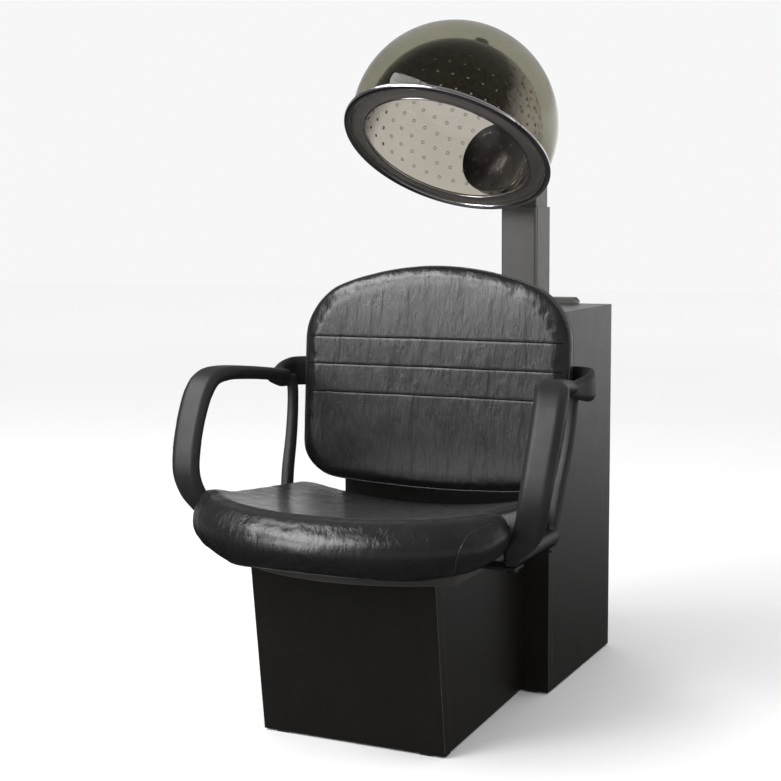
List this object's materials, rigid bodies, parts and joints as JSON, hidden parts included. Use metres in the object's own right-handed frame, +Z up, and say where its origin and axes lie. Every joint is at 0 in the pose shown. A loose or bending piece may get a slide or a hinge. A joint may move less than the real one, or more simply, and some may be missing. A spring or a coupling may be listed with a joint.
{
  "type": "hood hair dryer",
  "caption": "Salon dryer chair: clear-domed hood dryer that tilts, swivels and slides on a post behind a padded armchair on a box pedestal and cabinet.",
  "frame": {"origin": "on the floor, under the middle of the object's overall box", "axes": "+X to the sitter's left, +Y to the rear, +Z up; the sitter faces -Y"},
  "size_m": [0.706, 1.066, 1.2477],
  "materials": {
    "laminate": "satin black-brown laminate on board",
    "raw_wood": "plain board",
    "glide_plastic": "moulded",
    "steel_zinc": "zinc plated",
    "vinyl": "glossy black upholstery vinyl",
    "back_shell": "grained",
    "urethane": "moulded integral skin",
    "post_paint": "satin grey-black paint",
    "knob_plastic": "moulded",
    "smoke_acrylic": "smoke tinted, clear",
    "bowl_acrylic": "tinted, clear",
    "chrome_trim": "polished",
    "collar_plastic": "moulded",
    "gloss_black": "polished",
    "housing_plastic": "moulded",
    "motor_steel": "plain",
    "heater_wire": "oxidised resistance wire",
    "heater_mica": "mica sheet"
  },
  "bodies": {
    "chair": {"cabinet_front_panel": "laminate", "cabinet_left_panel": "laminate", "cabinet_right_panel": "laminate", "cabinet_top_panel": "laminate", "cabinet_floor_panel": "laminate", "cabinet_rear_panel": "laminate", "cabinet_corner_posts": "raw_wood", "rear_panel_screws": "steel_zinc", "pedestal_front_panel": "laminate", "pedestal_left_panel": "laminate", "pedestal_right_panel": "laminate", "pedestal_cleats": "raw_wood", "floor_glides": "glide_plastic", "seat_board": "raw_wood", "arm_crossbars": "steel_zinc", "arm_bolts": "steel_zinc", "seat_cushion": "vinyl", "back_board": "back_shell", "back_cushion": "vinyl", "arm_left": "urethane", "arm_right": "urethane", "post_tube": "post_paint", "post_end_plug": "glide_plastic", "post_front_cover": "post_paint", "slide_liners": "glide_plastic", "lock_boss": "steel_zinc", "cord_gland": "glide_plastic", "upper_bracket": "post_paint", "lower_bracket": "post_paint", "bracket_bolts": "steel_zinc"},
    "height_knob": {"height_lock_knob": "knob_plastic"},
    "mast": {"inner_post": "post_paint", "swivel_socket": "post_paint"},
    "head": {"swivel_spindle": "steel_zinc", "swivel_yoke": "post_paint", "tilt_pin": "steel_zinc"},
    "tilt_knob": {"tilt_lock_knob": "knob_plastic"},
    "hood": {"tilt_arm": "post_paint", "outer_shell": "smoke_acrylic", "inner_bowl": "bowl_acrylic", "rim_collar": "collar_plastic", "rim_ring": "chrome_trim", "bowl_spacer": "collar_plastic", "blower_cover": "gloss_black", "blower_housing": "housing_plastic", "blower_motor": "motor_steel", "heater_coil": "heater_wire", "heater_band": "heater_mica", "thermostat": "heater_mica", "housing_screws": "steel_zinc"},
    "fan": {"impeller": "housing_plastic", "motor_shaft": "motor_steel"},
    "timer_dial": {"timer_knob": "knob_plastic"},
    "heat_dial": {"heat_knob": "knob_plastic"}
  },
  "joints": [
    {"name": "mast_slide", "type": "slide", "parent": "chair", "child": "mast", "axis": [0, 0, 1], "range_m": [0, 0.25]},
    {"name": "head_swivel", "type": "hinge", "parent": "mast", "child": "head", "pos_m": [0, 0.454, 0.96], "axis": [0, 0, 1], "range_deg": [-21, 39]},
    {"name": "hood_tilt", "type": "hinge", "parent": "head", "child": "hood", "pos_m": [-0.00188, 0.44215, 0.985], "axis": [-0.9877, 0.1564, 0], "range_deg": [-15, 35]},
    {"name": "fan_spin", "type": "hinge", "parent": "hood", "child": "fan", "pos_m": [-0.01945, 0.33122, 0.98902], "axis": [0.1484, 0.9372, -0.3156], "continuous": true},
    {"name": "timer_turn", "type": "hinge", "parent": "hood", "child": "timer_dial", "pos_m": [0.02897, 0.3812, 0.97008], "axis": [0.1484, 0.9372, -0.3156], "range_deg": [0, 300]},
    {"name": "heat_turn", "type": "hinge", "parent": "hood", "child": "heat_dial", "pos_m": [-0.05005, 0.39371, 0.97008], "axis": [0.1484, 0.9372, -0.3156], "range_deg": [0, 135]},
    {"name": "tilt_knob_turn", "type": "hinge", "parent": "head", "child": "tilt_knob", "pos_m": [-0.00188, 0.44215, 0.985], "axis": [0.9877, -0.1564, 0], "range_deg": [0, 360]},
    {"name": "height_knob_turn", "type": "hinge", "parent": "chair", "child": "height_knob", "pos_m": [0, 0.5, 0.76], "axis": [0, 1, 0], "range_deg": [0, 360]}
  ]
}
